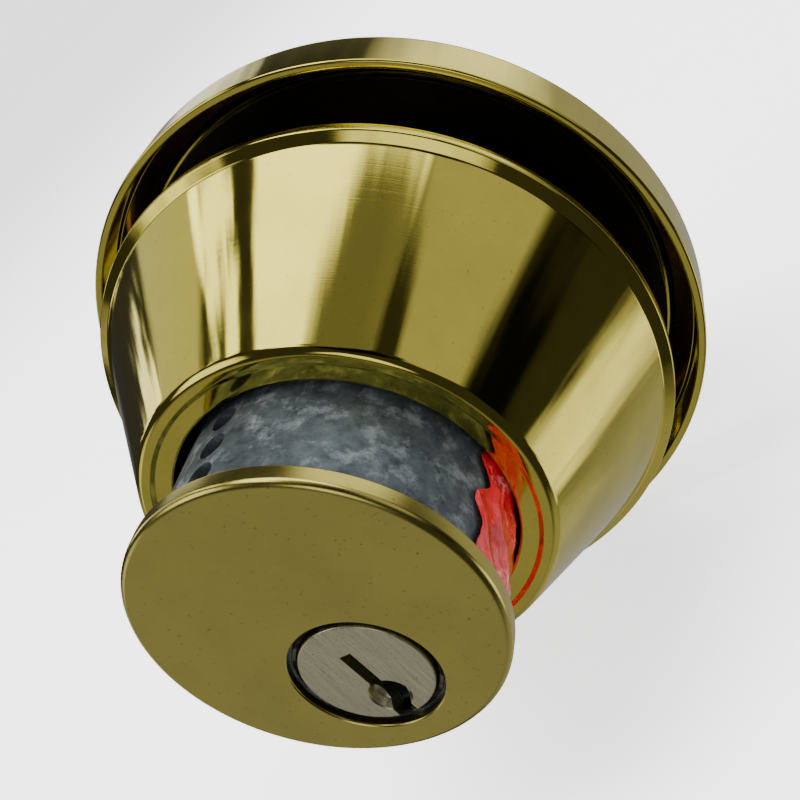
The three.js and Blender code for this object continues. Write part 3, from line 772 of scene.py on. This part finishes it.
def buildFilm(s):
    low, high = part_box("film_wrap")
    shape = bmesh.new()
    sheets = []
    for layer in (0, 1):
        grid = []
        for i in range(s["across"] + 1):
            row = []
            share = i / s["across"]
            for j in range(s["along"] + 1):
                down = j / s["along"]
                torn = s["torn"] * noise.noise(Vector((down * 9, 1.7, 5.2))) * abs(2 * share - 1) ** 3
                angle = math.radians(s["from"] + s["sweep"] * share + torn)
                wander = s["ragged"] * noise.noise(Vector((angle * 6, 3.1, 0.4)))
                frontGap = s["frontGap"] + wander
                y = low.y + frontGap * (1 - down) + (high.y - low.y - s["rearGap"]) * down
                spot = Vector((angle * 2.2, y * 160, 7.7))
                ridges = 1 - abs(noise.noise(spot * 1.6)) * 2
                fold = max(0.0, ridges) ** 2 * 0.7 + 0.3 * noise.noise(spot * 4.3) + 0.1
                lift = min(max(fold, 0.0), 1.0) * s["crease"]
                radius = min(s["radius"] + lift, s["outerMost"] - s["thickness"]) + layer * s["thickness"]
                x, z = radius * math.cos(angle), axisHeight + radius * math.sin(angle)
                row.append(shape.verts.new((x, y, z)))
            grid.append(row)
        sheets.append(grid)
    rows, columns = s["across"], s["along"]
    for grid in sheets:
        for i in range(rows):
            for j in range(columns):
                shape.faces.new((grid[i][j], grid[i + 1][j], grid[i + 1][j + 1], grid[i][j + 1]))
    inner, outer = sheets
    for i in range(rows):
        for j in (0, columns):
            shape.faces.new((inner[i][j], inner[i + 1][j], outer[i + 1][j], outer[i][j]))
    for j in range(columns):
        for i in (0, rows):
            shape.faces.new((inner[i][j], inner[i][j + 1], outer[i][j + 1], outer[i][j]))
    wrap = pieceFrom("filmWrap", shape)
    wrap.data.shade_smooth()
    wrap.data.set_sharp_from_angle(angle=math.radians(50))
    fit(wrap, film, "cylinder", "red_film", "film_wrap")


buildFilm(filmSettings)
print("film built")


# rose

roseSettings = {
    "sheet": 0.95 * mm, "wall": 6.0 * mm, "shoulderDrop": 2.2 * mm, "shoulderRise": 1.9 * mm,
    "faceRadius": 28.8 * mm, "ringHeight": 0.3 * mm, "stemHole": 5.0 * mm, "cup": 5.15 * mm,
    "crown": 0.5 * mm, "grooveDepth": 0.1 * mm,
    # how far in from the rim each line runs
    "innerWall": 3.4 * mm, "crownOuter": 2.5 * mm, "crownInner": 3.7 * mm, "grooveOuter": 3.95 * mm,
    "grooveInner": 5.0 * mm, "ringOuter": 5.15 * mm,
}


def buildRose(s):
    low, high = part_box("rose")
    radius = (high.x - low.x) / 2
    face = high.y - s["crown"]
    groove = face - s["grooveDepth"]
    ring = face + s["ringHeight"]
    rose = turnedMesh("roseShell", [
        (0, face - s["sheet"], 0),
        (radius - s["innerWall"], face - s["sheet"], easedEdge),
        (radius - s["innerWall"], s["wall"] + 0.4 * mm, 0.5 * mm),
        (radius - s["sheet"], s["wall"] - 1 * mm, 0.6 * mm),
        (radius - s["sheet"], low.y, brokenEdge),
        (radius, low.y, easedEdge),
        (radius, s["wall"] + 0.3 * mm, 1.3 * mm),
        (radius - s["shoulderDrop"], s["wall"] + s["shoulderRise"], 0.35 * mm),
        (radius - s["crownOuter"], high.y, 0.5 * mm),
        (radius - s["crownInner"], high.y, 0.5 * mm),
        (radius - s["grooveOuter"], groove, 0.15 * mm),
        (radius - s["grooveInner"], groove, 0.15 * mm),
        (radius - s["ringOuter"], ring, brokenEdge),
        (s["faceRadius"] + 0.25 * mm, ring, brokenEdge),
        (s["faceRadius"], face, brokenEdge),
        (0, face, 0),
    ], sides=256, axis=coverAxis, steps=6)
    tools = [turnedMesh("stemTool", [
        (0, face - toolReach, 0), (s["stemHole"], face - toolReach, 0),
        (s["stemHole"], face + toolReach, 0), (0, face + toolReach, 0),
    ], sides=96)]
    for side in (-1, 1):
        tools.append(turnedMesh(f"cupTool{side + 1}", [
            (0, face - toolReach, 0),
            (s["cup"] - 0.9 * mm, face - toolReach, 0),
            (s["cup"] - 0.9 * mm, face - s["sheet"], easedEdge),
            (s["cup"] - 0.15 * mm, face - 0.1 * mm, 0.4 * mm),
            (s["cup"] + 1.6 * mm, face + 0.35 * mm, 0),
            (s["cup"] + 1.6 * mm, face + toolReach, 0),
            (0, face + toolReach, 0),
        ], sides=96, axis=(side * screwSpacing / 2, screwRise), steps=8))
    carve(rose, tools)
    smoothPiece(rose)
    fit(rose, polishedBrass, "inside_half", "polished_brass", "rose")


buildRose(roseSettings)
# the rose plate is near-black: painted shade inside the rose's hollow
plateCopy = softenedCopy("rose_plate", "rosePlate", 0.15 * mm)
fit(plateCopy, darkSteelAndShade, "inside_half", "steel", "rose_plate")
print("rose built")


# thumbturn

thumbSettings = {
    "endWidth": 6.0 * mm, "frontNarrowing": 0.9, "edge": 1.25 * mm, "edgeSteps": 6, "thickness": 10.5 * mm,
    "shaft": 6.4 * mm, "groove": 0.45 * mm, "stem": 4.7 * mm, "sidePoints": 48,
    "slotHeight": 5.96 * mm, "slotWidth": 2.36 * mm,
}


def lensOutline(length, width, endWidth, points):
    rise = (width - endWidth) / 2
    radius = (length * length / 4 + rise * rise) / (2 * rise)
    reach = math.asin(length / 2 / radius)
    outline = []
    for side in (1, -1):
        for k in range(points + 1):
            angle = side * (reach - 2 * reach * k / points)
            x = radius * math.sin(angle)
            z = side * (radius * math.cos(angle) - radius + width / 2)
            outline.append((x, z))
    return outline


def buildThumbTurn(s):
    low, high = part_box("thumb_turn")
    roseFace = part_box("rose")[1].y
    length, width = high.x - low.x, high.z - low.z
    rear = high.y - s["thickness"]
    outline = lensOutline(length, width, s["endWidth"], s["sidePoints"])
    turn = prismMesh("thumbTurn", outline, rear, high.y)
    for vertex in turn.data.vertices:
        if vertex.co.y > high.y - 0.1 * mm:
            vertex.co.z *= s["frontNarrowing"]
    bevel = turn.modifiers.new("bevel", "BEVEL")
    bevel.width = s["edge"]
    bevel.segments = s["edgeSteps"]
    bevel.limit_method = "ANGLE"
    bevel.angle_limit = math.radians(30)
    keepModifiers(turn)
    seat = roseFace - 0.2 * mm
    shoulder = (seat + rear) / 2  # a turned groove parts the shaft from its boss
    shaft = turnedMesh("shaft", [
        (0, seat, 0),
        (s["shaft"], seat, 0.4 * mm),
        (s["shaft"], shoulder - s["groove"], easedEdge),
        (s["shaft"] - s["groove"], shoulder - s["groove"], crispEdge),
        (s["shaft"] - s["groove"], shoulder, crispEdge),
        (s["shaft"], shoulder, easedEdge),
        (s["shaft"], rear + 1.5 * mm, 0),
        (0, rear + 1.5 * mm, 0),
    ], sides=96)
    stem = turnedMesh("stem", [
        (0, low.y, 0),
        (s["stem"], low.y, 0.4 * mm),
        (s["stem"], seat + 1 * mm, 0),
        (0, seat + 1 * mm, 0),
    ], sides=96)
    carve(turn, [shaft, stem], "UNION")
    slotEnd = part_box("tailpiece")[1].y + 1.2 * mm
    tall, wide = s["slotHeight"] / 2, s["slotWidth"] / 2
    slot = prismMesh("slotTool", [(-wide, -tall), (wide, -tall), (wide, tall), (-wide, tall)],
                     low.y - 1 * mm, slotEnd)
    carve(turn, [slot])
    smoothPiece(turn, 34)
    fit(turn, castBrass, "thumbturn", "satin_brass", "thumb_turn")


buildThumbTurn(thumbSettings)
for node, name in (("friction_washer", "frictionWasher"), ("retaining_ring", "retainingRing")):
    fit(softenedCopy(node, name, 0.12 * mm), plainSteel, "thumbturn", "steel", node)
print("thumbturn built")


# tailpiece and what holds it

fit(softenedCopy("tailpiece", "tailBlade", 0.25 * mm), plainSteel, "tail", "steel", "tailpiece")
for node, name in (("plug_clip", "plugClip"), ("tail_cap", "tailCap")):
    fit(softenedCopy(node, name, 0.12 * mm), plainSteel, "plug", "steel", node)


# pin stacks: springs and turned pins, made by geometry nodes

def startTree(name, inputs):
    tree = bpy.data.node_groups.new(name, "GeometryNodeTree")
    sockets = {}
    tree.interface.new_socket(name="Geometry", in_out="INPUT", socket_type="NodeSocketGeometry")
    for label, kind in inputs:
        sockets[label] = tree.interface.new_socket(name=label, in_out="INPUT", socket_type=kind).identifier
    tree.interface.new_socket(name="Geometry", in_out="OUTPUT", socket_type="NodeSocketGeometry")
    return tree, tree.nodes.new("NodeGroupInput"), tree.nodes.new("NodeGroupOutput"), sockets


def endTree(tree, entry, leave, geometry):
    move = tree.nodes.new("GeometryNodeTransform")
    tree.links.new(geometry, move.inputs["Geometry"])
    tree.links.new(entry.outputs["Place"], move.inputs["Translation"])
    realize = tree.nodes.new("GeometryNodeRealizeInstances")
    tree.links.new(move.outputs["Geometry"], realize.inputs["Geometry"])
    dress = tree.nodes.new("GeometryNodeSetMaterial")
    tree.links.new(realize.outputs["Geometry"], dress.inputs["Geometry"])
    tree.links.new(entry.outputs["Material"], dress.inputs["Material"])
    tree.links.new(dress.outputs["Geometry"], leave.inputs[0])


def makeSpringTree():
    tree, entry, leave, sockets = startTree("coilSpring", [
        ("Turns", "NodeSocketFloat"), ("Coil Radius", "NodeSocketFloat"),
        ("Wire Radius", "NodeSocketFloat"), ("Height", "NodeSocketFloat"),
        ("Place", "NodeSocketVector"), ("Material", "NodeSocketMaterial"),
    ])
    spiral = tree.nodes.new("GeometryNodeCurveSpiral")
    spiral.inputs["Resolution"].default_value = 20
    tree.links.new(entry.outputs["Turns"], spiral.inputs["Rotations"])
    tree.links.new(entry.outputs["Coil Radius"], spiral.inputs["Start Radius"])
    tree.links.new(entry.outputs["Coil Radius"], spiral.inputs["End Radius"])
    tree.links.new(entry.outputs["Height"], spiral.inputs["Height"])
    wire = tree.nodes.new("GeometryNodeCurvePrimitiveCircle")
    wire.inputs["Resolution"].default_value = 8
    tree.links.new(entry.outputs["Wire Radius"], wire.inputs["Radius"])
    sweep = tree.nodes.new("GeometryNodeCurveToMesh")
    sweep.inputs["Fill Caps"].default_value = True
    tree.links.new(spiral.outputs["Curve"], sweep.inputs["Curve"])
    tree.links.new(wire.outputs["Curve"], sweep.inputs["Profile Curve"])
    endTree(tree, entry, leave, sweep.outputs["Mesh"])
    return tree, sockets


def makePinTree():  # a straight pin between two tapered ends, turned about Z
    tree, entry, leave, sockets = startTree("turnedPin", [
        ("Radius", "NodeSocketFloat"), ("Length", "NodeSocketFloat"),
        ("Lower Tip", "NodeSocketFloat"), ("Lower Taper", "NodeSocketFloat"),
        ("Upper Tip", "NodeSocketFloat"), ("Upper Taper", "NodeSocketFloat"),
        ("Place", "NodeSocketVector"), ("Material", "NodeSocketMaterial"),
    ])
    joined = tree.nodes.new("GeometryNodeJoinGeometry")

    def sleeve(bottom, top, depth, rise, fill):
        cone = tree.nodes.new("GeometryNodeMeshCone")
        cone.fill_type = fill
        cone.inputs["Vertices"].default_value = 28
        tree.links.new(bottom, cone.inputs["Radius Bottom"])
        tree.links.new(top, cone.inputs["Radius Top"])
        tree.links.new(depth, cone.inputs["Depth"])
        lift = tree.nodes.new("GeometryNodeTransform")
        offset = tree.nodes.new("ShaderNodeCombineXYZ")
        if rise is not None:
            tree.links.new(rise, offset.inputs["Z"])
        tree.links.new(cone.outputs["Mesh"], lift.inputs["Geometry"])
        tree.links.new(offset.outputs[0], lift.inputs["Translation"])
        tree.links.new(lift.outputs["Geometry"], joined.inputs[0])

    ends = mathNode(tree, "ADD", entry.outputs["Lower Taper"], entry.outputs["Upper Taper"])
    straight = mathNode(tree, "SUBTRACT", entry.outputs["Length"], ends)
    upperStart = mathNode(tree, "ADD", entry.outputs["Lower Taper"], straight)
    radius = entry.outputs["Radius"]
    sleeve(entry.outputs["Lower Tip"], radius, entry.outputs["Lower Taper"], None, "NGON")
    sleeve(radius, radius, straight, entry.outputs["Lower Taper"], "NONE")
    sleeve(radius, entry.outputs["Upper Tip"], entry.outputs["Upper Taper"], upperStart, "NGON")
    weld = tree.nodes.new("GeometryNodeMergeByDistance")
    weld.inputs["Distance"].default_value = 0.000002
    tree.links.new(joined.outputs[0], weld.inputs["Geometry"])
    endTree(tree, entry, leave, weld.outputs["Geometry"])
    return tree, sockets


def growPiece(name, tree, sockets, values):
    piece = bpy.data.objects.new(name, bpy.data.meshes.new(name))
    bpy.context.scene.collection.objects.link(piece)
    modifier = piece.modifiers.new("grow", "NODES")
    modifier.node_group = tree
    for label, value in values.items():
        modifier[sockets[label]] = value
    keepModifiers(piece)
    shape = bmesh.new()
    shape.from_mesh(piece.data)
    shape.faces.ensure_lookup_table()
    inner = [face for face in shape.faces if len(face.verts) > 4 and not face.edges[0].is_boundary
             and all(len(edge.link_faces) > 2 for edge in face.edges)]
    bmesh.ops.delete(shape, geom=inner, context="FACES")
    bmesh.ops.recalc_face_normals(shape, faces=shape.faces)
    shape.to_mesh(piece.data)
    shape.free()
    piece.data.shade_smooth()
    piece.data.set_sharp_from_angle(angle=math.radians(25))
    return piece


springTree, springSockets = makeSpringTree()
pinTree, pinSockets = makePinTree()
stackSettings = {"turns": 8.0, "wire": 0.17 * mm, "pointTip": 0.45 * mm, "pointTaper": 0.6 * mm,
                 "break": 0.2 * mm, "driverTravel": 2.4 * mm}


def buildPinStacks(s):
    for k, place in enumerate(pinPlaces, 1):
        low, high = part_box(f"pin_spring_{k}")
        coil = (high.x - low.x) / 2 - s["wire"]
        spring = growPiece(f"pinSpring{k}", springTree, springSockets, {
            "Turns": s["turns"], "Coil Radius": coil, "Wire Radius": s["wire"],
            "Height": high.z - low.z - 2 * s["wire"], "Place": (0, place, low.z + s["wire"]),
            "Material": plainSteel,
        })
        fit(spring, plainSteel, "cylinder", "steel", f"pin_spring_{k}")
        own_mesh(spring)
        for node, body, material, slot, tip, taper in (
            (f"key_pin_{k}", f"keypin_{k}", plugBrass, "satin_brass", s["pointTip"], s["pointTaper"]),
            (f"driver_pin_{k}", f"driver_{k}", plainSteel, "steel", None, s["break"]),
            (f"chamber_cap_{k}", "cylinder", darkSteelAndShade, "steel", None, s["break"]),
        ):
            low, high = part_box(node)
            radius = (high.x - low.x) / 2
            pin = growPiece(node.replace("_", " ").title().replace(" ", ""), pinTree, pinSockets, {
                "Radius": radius, "Length": high.z - low.z, "Lower Tip": tip or radius - s["break"],
                "Lower Taper": taper, "Upper Tip": radius - s["break"], "Upper Taper": s["break"],
                "Place": (0, place, low.z), "Material": material,
            })
            fit(pin, material, body, slot, node)


buildPinStacks(stackSettings)
print("pin stacks built")


# floor, light and camera

def buildFloor():
    shape = bmesh.new()
    bmesh.ops.create_grid(shape, x_segments=1, y_segments=1, size=40.0)
    for vertex in shape.verts:
        vertex.co.z = cadBox[0].z - 0.5 * mm
    floor = pieceFrom("floor", shape)
    material, tree, shader, position = startMaterial("paleFloor")
    shade = noiseNode(tree, position, 3.0, 2.0)
    pale = mixColour(tree, shade, (0.72, 0.72, 0.72), (0.76, 0.76, 0.76))
    tree.links.new(pale, shader.inputs["Base Color"])
    tree.links.new(pale, shader.inputs["Emission Color"])
    shader.inputs["Emission Strength"].default_value = 2.2
    shader.inputs["Roughness"].default_value = 0.9
    shader.inputs["Specular IOR Level"].default_value = 0.1
    floor.data.materials.append(material)
    floor.visible_glossy = False  # polished brass mirrors the studio instead


def addPanel(name, place, size, power):  # lights the matt parts only; the world is what metal mirrors
    lamp = bpy.data.lights.new(name, "AREA")
    lamp.shape = "RECTANGLE"
    lamp.size, lamp.size_y = size
    lamp.energy = power
    holder = bpy.data.objects.new(name, lamp)
    holder.location = place
    holder.rotation_euler = (-Vector(place)).to_track_quat("-Z", "Y").to_euler()
    holder.visible_glossy = False
    bpy.context.scene.collection.objects.link(holder)


cameraSettings = {
    "azimuth": 33.2, "elevation": 23.3, "roll": 44.35, "distance": 0.1223,
    "aim": (0.0012, -0.0067, 0.005), "lens": 50.0,
}
studioSettings = {
    "backdrop": 2.1, "dim": 0.038, "wobble": 0.07,
    "collarCards": [  # angle round the collar, lean along Y, then as for cards
        (110, -0.15, 8, 1, 1.8),
        (94, 0.0, 15, 2, 0.6),
        (80, 0.0, 7.5, 1, 2.4),
        (55, 0.0, 27.5, 1, 2.5),
        (30, 0.0, 24, 2, 0.42),
        (-15, -0.15, 14, 4, 1.3),
    ],
    "collarShades": [(46, -0.3, 22.5, 2, 0.93), (10, -0.15, 12, 3, 0.9)],
    "cards": [  # direction, reach in degrees, softness in degrees, strength
        ((-0.510, -0.760, -0.400), 34, 10, 0.25),
        ((-0.520, -0.420, 0.740), 16, 3, 1.5),
        ((0.250, -0.900, 0.350), 14, 4, 1.2),
        ((-0.900, -0.350, 0.050), 12, 4, 0.7),
        ((0.450, 0.800, 0.400), 20, 5, 1.1),
        ((-0.520, 0.800, 0.300), 12, 3, 1.1),
        ((0.000, 0.850, -0.500), 46, 10, 0.34),
        ((-0.900, 0.100, -0.420), 20, 6, 0.5),
        ((0.000, -0.100, -0.990), 24, 8, 0.3),
    ],
    "panels": {  # place, size, watts
        "topPanel": ((-0.15, -0.15, 0.8), (0.6, 0.6), 14),
        "sidePanel": ((-0.6, -0.45, 0.3), (0.4, 0.6), 6),
        "frontPanel": ((0.45, -0.7, 0.3), (0.4, 0.4), 5),
        "roomPanel": ((0.3, 0.7, 0.45), (0.5, 0.4), 7),
    },
}


def awayFromAim(s):
    azimuth, elevation = math.radians(s["azimuth"]), math.radians(s["elevation"])
    return Vector((math.sin(azimuth) * math.cos(elevation), -math.cos(azimuth) * math.cos(elevation),
                   math.sin(elevation)))


def mirroredAt(angle, lean):  # what the collar's cone mirrors into the camera, angle from +X toward +Z
    low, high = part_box("collar")
    rim, middle = (high.x - low.x) / 2, (low.y + high.y) / 2
    drop = rim - collarSettings["frontRadius"]
    length = high.y - low.y - collarSettings["corner"]
    turn = math.radians(angle)
    outward = Vector((math.cos(turn), 0, math.sin(turn)))
    normal = (outward * length - Vector((0, drop, 0))).normalized()
    place = Vector(coverCentre) + Vector((0, middle, 0)) + outward * (rim - drop * (high.y - middle) / length)
    eye = Vector(cameraSettings["aim"]) + awayFromAim(cameraSettings) * cameraSettings["distance"]
    return (place - eye).normalized().reflect(normal) + Vector((0, lean, 0))


def buildWorld(s):
    world = bpy.data.worlds.new("studio")
    bpy.context.scene.world = world
    world.use_nodes = True
    tree = world.node_tree
    background = tree.nodes["Background"]
    coordinates = tree.nodes.new("ShaderNodeTexCoord")
    direction = coordinates.outputs["Generated"]
    wobble = mathNode(tree, "SUBTRACT", noiseNode(tree, direction, 9.0, 4.0, 0.62), 0.5)

    def patch(card):
        towards, reach, softness, strength = card
        facing = tree.nodes.new("ShaderNodeVectorMath")
        facing.operation = "DOT_PRODUCT"
        facing.inputs[1].default_value = Vector(towards).normalized()
        tree.links.new(direction, facing.inputs[0])
        ragged = mathNode(tree, "MULTIPLY", wobble, s["wobble"])
        bent = mathNode(tree, "ADD", facing.outputs["Value"], ragged)
        outer = math.cos(math.radians(reach + softness))
        inner = math.cos(math.radians(max(reach - softness, 0.5)))
        return rangeNode(tree, bent, outer, inner, 0.0, strength)

    total = mathNode(tree, "ADD", mathNode(tree, "MULTIPLY", wobble, 0.02), s["dim"])
    onCollar = [(mirroredAt(angle, lean), *rest) for angle, lean, *rest in s["collarCards"]]
    for card in onCollar + s["cards"]:
        total = mathNode(tree, "ADD", total, patch(card))
    for angle, lean, *rest in s["collarShades"]:
        shade = (mirroredAt(angle, lean), *rest)
        total = mathNode(tree, "MULTIPLY", total, mathNode(tree, "SUBTRACT", 1.0, patch(shade)))
    rays = tree.nodes.new("ShaderNodeLightPath")
    grey = tree.nodes.new("ShaderNodeCombineColor")
    for channel in grey.inputs:
        tree.links.new(total, channel)
    plain = s["backdrop"]
    seen = mixColour(tree, rays.outputs["Is Camera Ray"], grey.outputs["Color"], (plain, plain, plain))
    tree.links.new(seen, background.inputs["Color"])


def addCamera(s):
    back = awayFromAim(s)
    camera = bpy.data.objects.new("camera", bpy.data.cameras.new("camera"))
    camera.data.lens = s["lens"]
    camera.data.clip_start = 0.005
    camera.location = Vector(s["aim"]) + back * s["distance"]
    level = (-back).to_track_quat("-Z", "Y").to_matrix()
    camera.rotation_euler = (level @ Matrix.Rotation(math.radians(-s["roll"]), 3, "Z")).to_euler()
    bpy.context.scene.collection.objects.link(camera)
    bpy.context.scene.camera = camera


buildFloor()
buildWorld(studioSettings)
for panelName, (place, size, power) in studioSettings["panels"].items():
    addPanel(panelName, place, size, power)
addCamera(cameraSettings)
print("stage set")
